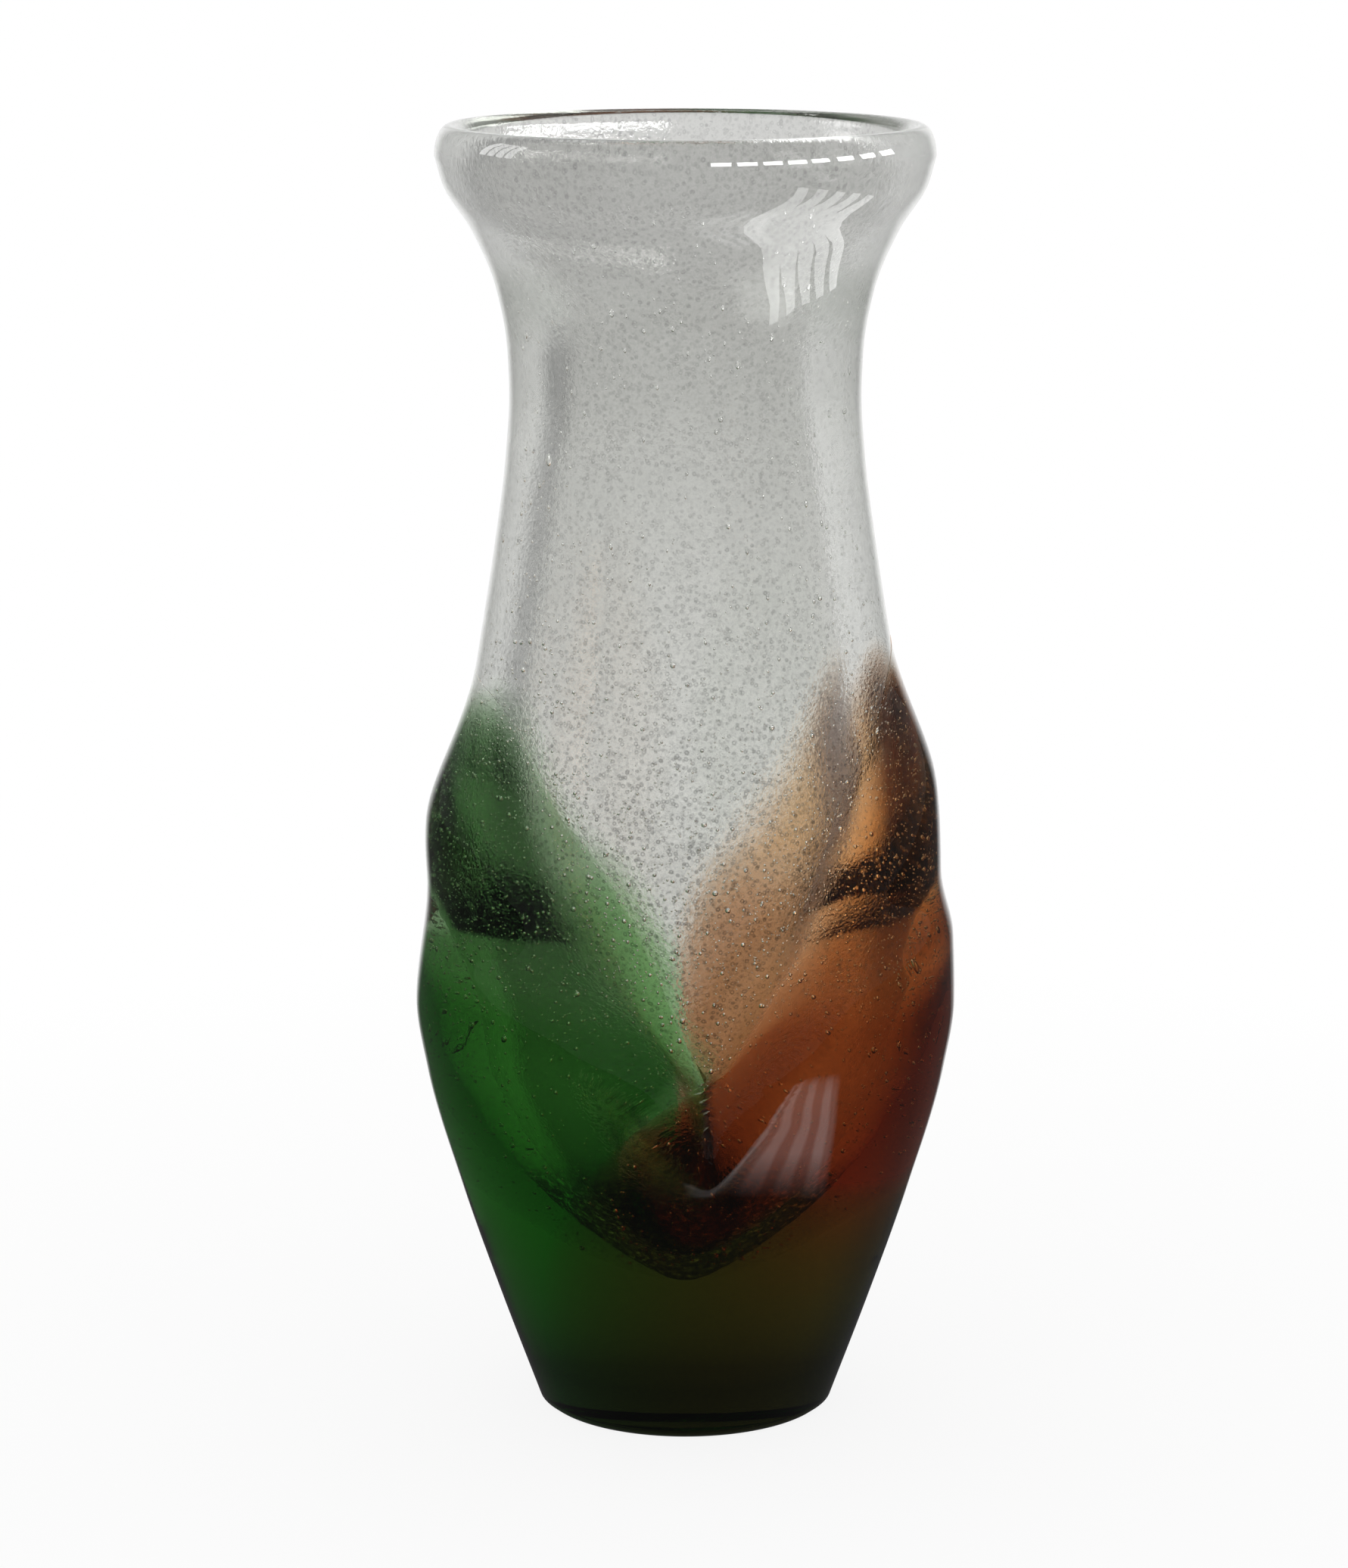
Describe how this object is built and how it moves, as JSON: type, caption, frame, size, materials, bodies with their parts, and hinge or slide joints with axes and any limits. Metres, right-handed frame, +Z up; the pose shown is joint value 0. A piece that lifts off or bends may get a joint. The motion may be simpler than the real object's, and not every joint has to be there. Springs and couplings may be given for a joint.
{
  "type": "vase",
  "caption": "Art glass vase: seeded clear vessel with rolled lip and long neck, cased low down in green and amber glass petals over a solid base.",
  "frame": {"origin": "centre of the base, on the surface that the vase stands on", "axes": "+Z up along the vase's axis, +X to the amber side, -Y towards the viewer at the front cusp between green and amber"},
  "size_m": [0.1178, 0.1129, 0.28],
  "materials": {
    "seeded_glass": "polished, full of fine bubbles",
    "green_glass": "polished",
    "amber_glass": "polished"
  },
  "bodies": {
    "root": {"seeded_vessel": "seeded_glass", "green_casing": "green_glass", "amber_casing": "amber_glass"}
  },
  "joints": []
}
